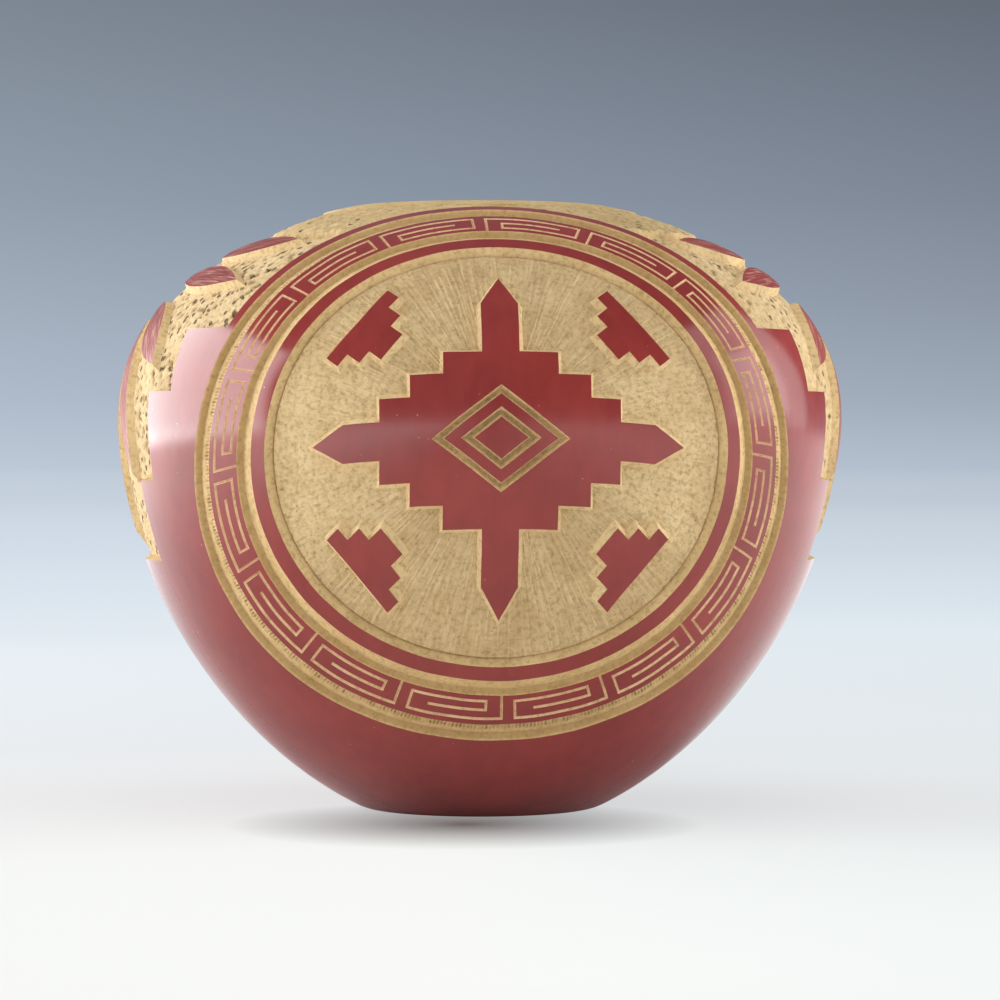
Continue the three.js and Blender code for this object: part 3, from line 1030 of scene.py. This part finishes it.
def makeFigures():
    frameCorners, frameHole = diamondCorners(diamonds["frame"]), diamondCorners(diamonds["frameHole"])
    drawings = {
        "star": flatLand("starFlat", starCorners(), diamondCorners(star["hole"])),
        "diamond_frame": flatLand("frameFlat", frameCorners, frameHole),
        "centre_diamond": flatLand("centreFlat", diamondCorners(diamonds["centre"])),
    }
    bevels = {"star": bevelLand("starBevel", starCorners(), diamondCorners(bevel["hole"]))}
    angles = [cloud["angle"], 180 - cloud["angle"], 180 + cloud["angle"], 360 - cloud["angle"]]
    for i, angle in enumerate(angles):
        drawings[f"cloud_{i + 1}"] = flatLand(f"cloudFlat{i + 1}", cloudCorners(angle))
        bevels[f"cloud_{i + 1}"] = bevelLand(f"cloudBevel{i + 1}", cloudCorners(angle))
    for slot, ending, group in (("red_slip", "", drawings), ("tan_ground", "Bevel", bevels)):
        for node, drawing in group.items():
            title = "".join(word.capitalize() for word in node.split("_"))
            for side, plate in medallionPlates.items():
                layPiece(copyOf(drawing, f"{side}{title}{ending}"), plate, slot, f"{side}_{node}")
            bpy.data.objects.remove(drawing, do_unlink=True)


feathers = {
    "angles": [0, 29, 62, 101, 122],
    "roots": [9, 9, 9, 10, 16],
    "tips": [36.5, 33, 27.5, 31, 32.5],
    "swells": [4.2, 4.2, 4.2, 3.4, 3.2],
    "rootHalf": 1,
    "steps": 9,
    "edge": {"slope": 0.8 * mm, "spread": 0.72 * mm, "top": 0},
}


def featherCorners(rank, turn):
    root, tip, swell = (feathers[k][rank] for k in ("roots", "tips", "swells"))
    third = (tip - root) / 3
    pulls = [(feathers["rootHalf"], -root), (swell, -root - third), (swell, -root - 2 * third), (0, -tip)]
    side = []
    for t in spaced(0, 1, feathers["steps"]):
        shares = [(1 - t) ** 3, 3 * t * (1 - t) ** 2, 3 * t**2 * (1 - t), t**3]
        side.append([sum(s * p[k] for s, p in zip(shares, pulls)) * mm for k in (0, 1)])
    return turned([(-x, y) for x, y in side[:-1]] + side[::-1], turn)


def makeFeathers():
    outermost = len(feathers["angles"]) - 1
    for place in range(-outermost, outermost + 1):
        rank, count = abs(place), place + outermost + 1
        turn = math.radians(math.copysign(1, place) * feathers["angles"][rank])
        drawing = flatLand("featherFlat", featherCorners(rank, turn), None, feathers["edge"], barbedRed)
        flat = places(drawing)
        acrossBarb = flat[:, 0] * math.cos(turn) + flat[:, 1] * math.sin(turn)
        alongBarb = flat[:, 1] * math.cos(turn) - flat[:, 0] * math.sin(turn)
        apart = np.full(len(flat), place * mm)
        addReading(drawing, "barbs", np.stack([acrossBarb, alongBarb, apart], axis=1))
        for flank, plate in fanPlates.items():
            piece = copyOf(drawing, f"{flank}Feather{count}")
            layPiece(piece, plate, "red_slip", f"{flank}_feather_{count}")
        bpy.data.objects.remove(drawing, do_unlink=True)


makeFigures()
makeFeathers()
print("lands raised")

# Carved flanks and the collars above the medallions

sheet = {
    "thickness": 0.9 * mm,
    "lipOverlap": 0.3 * mm,  # how far it reaches in under the lip band
    "flank": {"bottom": -2.1 * mm, "cell": 0.42 * mm, "rows": 178, "overlap": 0.5 * mm},  # cell at the belly
    "collar": {"bottom": -2.15 * mm, "cell": 0.75 * mm, "rows": 34, "overlap": 0.4 * mm},
}
stipple = {
    "pits": 1100,
    "pitRadius": (0.25, 0.55),  # in millimetres, as is the depth
    "pitDepth": (0.25, 0.7),
    "patchPitch": 8 * mm,  # of the patches with deeper pits
    "grain": (0.09 * mm, 0.9 * mm),  # size and pitch
    # pit depth at which the painted shade in a pit is full
    "darkest": 0.4 * mm,
}
collar = {
    "foot": 93.9 * mm,
    "halfAngle": 66,
    "wander": (0.5 * mm, 3 * mm),  # size and pitch of the uneven edge
    "slope": 1.1 * mm,
    "low": -1.7 * mm,
    "rise": 1.62 * mm,
}


def sheetPiece(name, form, middle, halfAngle, low, keep=None):  # a closed sheet beside the medallions
    high = angleAtRadius(bowl["lipBandRadius"] - sheet["lipOverlap"])
    left, right = middle - halfAngle, middle + halfAngle
    columns = math.ceil((right - left) / (form["cell"] / bowl["bellyRadius"]))
    clearSelection()
    bpy.ops.mesh.primitive_grid_add(x_subdivisions=columns, y_subdivisions=form["rows"], size=2)
    piece = named(bpy.context.object, name)
    flat = places(piece)
    flat[:, 0] = left + (flat[:, 0] + 1) / 2 * (right - left)
    flat[:, 1] = low + (flat[:, 1] + 1) / 2 * (high - low)
    flat[:, 2] = form["bottom"]
    setPlaces(piece, flat)
    openEdit()
    bpy.ops.mesh.select_mode(type="FACE")
    bpy.ops.mesh.select_all(action="DESELECT")
    closeEdit()
    centres = vectorsOf(piece.data.polygons, "center")
    kept = outsideMedallions(centres, medallion["border"] - form["overlap"])
    if keep:
        kept &= keep(centres)
    piece.data.polygons.foreach_set("select", ~kept)
    bpy.ops.object.mode_set(mode="EDIT")
    bpy.ops.mesh.delete(type="FACE")
    bpy.ops.mesh.select_mode(type="VERT")
    bpy.ops.mesh.select_all(action="SELECT")
    extrude(sheet["thickness"])
    closeOutwards()
    return piece


def outsideMedallions(flat, edge):
    skin = skinAt(flat)
    clear = np.ones(len(flat), dtype=bool)
    for plate in medallionPlates.values():
        ahead = skin @ (plate["out"] * [1, 1, 0]) > 0
        clear &= ~ahead | (ringEdgeAt(skin, plate) > edge)
    return clear


def pitField(skin, seed):  # how deep each spot lies in one of the pits
    rng = np.random.default_rng(seed)
    spread = fromAxis(skin)
    centres = skin[rng.choice(len(skin), stipple["pits"], replace=False, p=spread / spread.sum())]
    sizes = rng.uniform(*stipple["pitRadius"], len(centres)) * mm
    depths = rng.uniform(*stipple["pitDepth"], len(centres)) * mm
    tree = kdtree.KDTree(len(centres))
    for i, centre in enumerate(centres):
        tree.insert(centre, i)
    tree.balance()
    found = [tree.find(spot) for spot in skin.tolist()]
    which = np.array([f[1] for f in found])
    away = np.array([f[2] for f in found])
    inside = np.clip(1.5 - away / sizes[which], 0, 1)
    return inside * inside * (3 - 2 * inside) * depths[which]


def stippleRelief(piece, seed, shown, share):
    flat = places(piece)
    skin = skinAt(flat)
    spots = skin - flankField["depth"] * bowlNormal(skin)
    patches = np.clip(grain(spots, stipple["patchPitch"]) * 3 + 0.6, 0, 1)
    pits = pitField(skin, seed) * (0.35 + 0.65 * patches) * share
    size, pitch = stipple["grain"]
    fine = grain(spots, pitch, 2)
    flat[:, 2] += shown * (size * fine - pits)
    setPlaces(piece, flat)
    # painted shade in the pits, darker as they deepen
    addReading(piece, "carved", shown * np.clip(pits / stipple["darkest"] - 0.2 * fine, 0, 1))


def finishSheet(piece, finish, degrees, node):
    wrapOnBowl(piece)
    paintFaces(piece, [finish])
    smoothBy(piece, degrees)
    seat(piece, "tan_ground", node)


def makeFlankGround(flank, azimuth):
    overlap = sheet["flank"]["overlap"]
    margin = overlap / bowl["bellyRadius"]
    low = angleAtHeight(flankField["treads"][-1]) - margin
    middle = math.radians(azimuth)

    def inField(flat):
        away = np.degrees(np.abs(flat[:, 0] - middle) - margin)
        z = outlineAt(flat[:, 1])[1] + overlap
        inside = z > flankField["treads"][0]
        for tread, halfAngle in zip(flankField["treads"][1:], flankField["halfAngles"][1:]):
            inside |= (z > tread) & (away < halfAngle)
        return inside

    piece = sheetPiece(f"{flank}Ground", sheet["flank"], middle, math.pi / 2, low, inField)
    seed, share = (21, 1.0) if flank == "left" else (22, 0.7)
    stippleRelief(piece, seed, carvedSide(places(piece)), share)
    finishSheet(piece, pittedTan[flank], 60, f"{flank}_ground")


def makeCollar(side, azimuth):
    middle, halfAngle = math.radians(azimuth), math.radians(collar["halfAngle"])
    low = angleAtHeight(collar["foot"])
    piece = sheetPiece(f"{side}Collar", sheet["collar"], middle, halfAngle, low)
    flat = places(piece)
    shown = carvedSide(flat)
    r, z = outlineAt(flat[:, 1])
    size, pitch = collar["wander"]
    fromEnd = (halfAngle - np.abs(flat[:, 0] - middle)) * r
    footRadius, footHeight = outlineAt(low)
    fromFoot = np.hypot(r - footRadius, z - footHeight)
    reach = np.minimum(fromEnd, fromFoot) + size * grain(skinAt(flat), pitch)
    top = collar["low"] + collar["rise"] * np.clip(reach / collar["slope"], 0, 1)
    flat[:, 2] = np.where(shown, top, flat[:, 2])
    setPlaces(piece, flat)
    stippleRelief(piece, 31, shown, 0.3)
    finishSheet(piece, roughTan, 50, f"{side}_collar")


for flank, azimuth in flankTurns.items():
    makeFlankGround(flank, azimuth)
for side, azimuth in sideTurns.items():
    makeCollar(side, azimuth)
print("flanks stippled")

# Floor, light and camera

studio = {
    "floorRadius": 12,
    "fill": (0.5, 0.15),  # strength of the soft light from the sides and from above
    "frontFill": 0.52,
    "sideGlow": (2.8, 1.65),  # how bright the floor to the left and right shows in the polish
    "sideGlowSpan": (0.06, 0.28),  # how far to the side that glow starts and is full
    "sideGlowMiddle": -0.025,
    "sideBounce": 0.65,  # how much of that glow falls on the bowl as soft light
    "footShade": 0.14,  # how much light the painted shadow leaves on the floor just before the foot
    "footShadeReach": 0.038,
}
paintedLight = [  # kind of ray, least share, and where the share grows to 1 away from the bowl
    ("Is Camera Ray", 0.75, 0.25, 0.6),
    ("Is Glossy Ray", 0, 1.2, 2.5),
]
backdrop = {
    "leftmost": -0.074,  # sideways part of a direction where the left colours hold
    "rightmost": 0.192,
    "sky": [  # upward part of a direction, and the colours to the left and right there
        (-0.006, (190, 202, 216), (181, 192, 206)),
        (0.0006, (185, 197, 211), (174, 186, 200)),
        (0.0142, (175, 187, 202), (160, 171, 186)),
        (0.0412, (161, 173, 187), (142, 152, 167)),
        (0.0683, (146, 158, 172), (127, 136, 151)),
        (0.12, (126, 135, 148), (102, 110, 122)),
    ],
    "floor": [  # distance in metres from a spot before the bowl
        (0, (250, 251, 249), (248, 251, 249)),
        (0.14, (246, 248, 246), (242, 246, 246)),
        (0.21, (238, 239, 240), (232, 235, 237)),
        (0.32, (232, 235, 238), (229, 234, 237)),
        (0.69, (229, 236, 242), (228, 237, 242)),
        (1.06, (220, 230, 239), (217, 227, 236)),
        (1.8, (211, 221, 233), (205, 216, 226)),
        (4.1, (198, 209, 221), (191, 201, 213)),
        (12, (190, 202, 216), (181, 192, 206)),
    ],
    "brightSpot": (0, -0.2, 0),
    # middle and colour of the painted shadow before the foot
    "shadeSpot": (-0.004, -0.03, 0),
    "shadeColor": linear(70, 46, 42),
}


def rampOn(tree, value, rows, column):
    low, high = rows[0][0], rows[-1][0]
    ramp = addNode(tree, "ValToRGB", {"Fac": rangeOf(tree, value, low, high)})
    stops = ramp.color_ramp.elements
    stops[0].color = linear(*rows[0][column])
    stops[1].color = linear(*rows[-1][column])
    for row in rows[1:-1]:
        stops.new((row[0] - low) / (high - low)).color = linear(*row[column])
    return ramp.outputs["Color"]


def backdropColor(tree, value, sideways, rows):
    share = rangeOf(tree, sideways, backdrop["leftmost"], backdrop["rightmost"])
    left, right = (rampOn(tree, value, rows, column) for column in (1, 2))
    return mixedColor(tree, share, left, right)


def distanceFrom(tree, place, spot):
    return addNode(tree, "VectorMath", {0: place, 1: spot}, operation="DISTANCE").outputs["Value"]


def mixedShader(tree, share, first, second):
    return addNode(tree, "MixShader", {0: share, 1: first.outputs[0], 2: second.outputs[0]})


def sideLight(tree, place, rays):  # light from the floor beside the bowl, and its share
    across = axesOf(tree, place)["X"]
    aside = mathOn(tree, "ABSOLUTE", mathOn(tree, "SUBTRACT", across, studio["sideGlowMiddle"]), 0)
    bounce = mathOn(tree, "MULTIPLY", rays["Is Diffuse Ray"], studio["sideBounce"])
    seen = mathOn(tree, "MAXIMUM", rays["Is Glossy Ray"], bounce)
    share = mathOn(tree, "MULTIPLY", rangeOf(tree, aside, *studio["sideGlowSpan"]), seen)
    strength = rangeOf(tree, across, -0.1, 0.1, *studio["sideGlow"])
    return addNode(tree, "Emission", {"Strength": strength}), share


def makeFloor():
    clearSelection()
    bpy.ops.mesh.primitive_circle_add(vertices=96, radius=studio["floorRadius"], fill_type="NGON")
    floor = named(bpy.context.object, "floor")
    finish, tree, _ = newFinish("floorPaper")
    tree.nodes.clear()
    place = addNode(tree, "TexCoord", {}).outputs["Object"]
    rays = addNode(tree, "LightPath", {}).outputs
    fromBowl = distanceFrom(tree, place, (0, 0, 0))
    direction = addNode(tree, "VectorMath", {0: place}, operation="NORMALIZE").outputs["Vector"]
    fromBright = distanceFrom(tree, place, backdrop["brightSpot"])
    color = backdropColor(tree, fromBright, axesOf(tree, direction)["X"], backdrop["floor"])
    # painted shadow around the foot, seen by camera rays only
    fromShade = distanceFrom(tree, place, backdrop["shadeSpot"])
    light = rangeOf(tree, fromShade, 0, studio["footShadeReach"], studio["footShade"])
    light = mathOn(tree, "MAXIMUM", light, mathOn(tree, "SUBTRACT", 1, rays["Is Camera Ray"]))
    color = mixedColor(tree, light, backdrop["shadeColor"], color)
    paper = addNode(tree, "BsdfDiffuse", {"Color": color})
    painted = addNode(tree, "Emission", {"Color": color})
    shares = []
    for ray, least, low, high in paintedLight:
        share = mathOn(tree, "MAXIMUM", rangeOf(tree, fromBowl, low, high), least)
        shares.append(mathOn(tree, "MULTIPLY", share, rays[ray]))
    glow, glowShare = sideLight(tree, place, rays)
    lit = mixedShader(tree, glowShare, paper, glow)
    whole = mixedShader(tree, mathOn(tree, "ADD", *shares), lit, painted)
    addNode(tree, "OutputMaterial", {"Surface": whole.outputs[0]})
    floor.data.materials.append(finish)


def makeSky():
    world = bpy.data.worlds.new("studioSky")
    bpy.context.scene.world = world
    world.use_nodes = True
    tree = world.node_tree
    tree.nodes.clear()
    axes = axesOf(tree, addNode(tree, "TexCoord", {}).outputs["Generated"])
    rays = addNode(tree, "LightPath", {}).outputs
    color = backdropColor(tree, axes["Z"], axes["X"], backdrop["sky"])
    ahead = rangeOf(tree, axes["Y"], 0, -1, 0, studio["frontFill"])
    strength = mathOn(tree, "ADD", ahead, rangeOf(tree, axes["Z"], 0.2, 1, *studio["fill"]))
    fill = addNode(tree, "Background", {"Color": (1, 1, 1, 1), "Strength": strength})
    seen = mathOn(tree, "MAXIMUM", rays["Is Camera Ray"], rays["Is Glossy Ray"])
    mix = mixedShader(tree, seen, fill, addNode(tree, "Background", {"Color": color}))
    addNode(tree, "OutputWorld", {"Surface": mix.outputs[0]})


lampForms = {  # place, target, width and height
    "leftWindow": ((-0.75, 0.16, 0.315), (0, 0, 0.315), 0.93, 0.62),
    "leftRear": ((-0.69, 0.34, 0.32), (0, 0, 0.32), 0.93, 0.62),
    "rightWindow": ((0.89, 0.1, 0.47), (0, 0, 0.47), 0.7, 0.86),
    "rightCore": ((0.9, 0.06, 0.31), (0, 0, 0.31), 0.42, 0.44),
    "ceiling": ((0, -0.2, 1.15), (0, 0, 0.05), 1.0, 1.0),
}
lamps = {  # form, power, and the kind of ray that misses the lamp
    "leftSheen": ("leftWindow", 11.4, "diffuse"),
    "leftKey": ("leftRear", 7.2, "glossy"),
    "rightSheen": ("rightWindow", 3.4, "diffuse"),
    "rightSheenCore": ("rightCore", 1.2, "diffuse"),
    "rightKey": ("rightWindow", 10.5, "glossy"),
    "topKey": ("ceiling", 4.4, "glossy"),
}


def addLamp(name, form, power, unseenBy):
    spot, target, width, height = lampForms[form]
    clearSelection()
    bpy.ops.object.light_add(type="AREA", location=spot)
    lamp = bpy.context.object
    lamp.name = name
    lamp.data.shape = "RECTANGLE"
    lamp.data.size, lamp.data.size_y = width, height
    lamp.data.energy = power
    setattr(lamp, f"visible_{unseenBy}", False)
    lamp.rotation_euler = (Vector(target) - Vector(spot)).to_track_quat("-Z", "Y").to_euler()


view = {
    "place": (-33.26 * mm, -614.1 * mm, 59 * mm),
    "frame": 1000,  # width in pixels, the unit of the next three numbers too
    "focal": 3690,
    "aside": 20,  # how far right of the bowl's axis the middle of the frame lies
    "down": 47.7,  # how far below the camera's level it lies
    "sensor": 36,
}


def addCamera():
    clearSelection()
    bpy.ops.object.camera_add(location=view["place"])
    camera = bpy.context.object
    camera.name = "photoCamera"
    x, y, _ = view["place"]
    aim = math.atan2(-x, -y) + math.atan(view["aside"] / view["focal"])
    dip = math.atan(view["down"] / view["focal"])
    camera.rotation_euler = (math.pi / 2 - dip, 0, -aim)
    camera.data.sensor_width = view["sensor"]
    camera.data.lens = view["focal"] * view["sensor"] / view["frame"]
    camera.data.clip_start = 0.01
    bpy.context.scene.camera = camera


makeFloor()
makeSky()
for name, settings in lamps.items():
    addLamp(name, *settings)
addCamera()
bpy.context.scene.view_settings.view_transform = "Standard"
print("studio set")
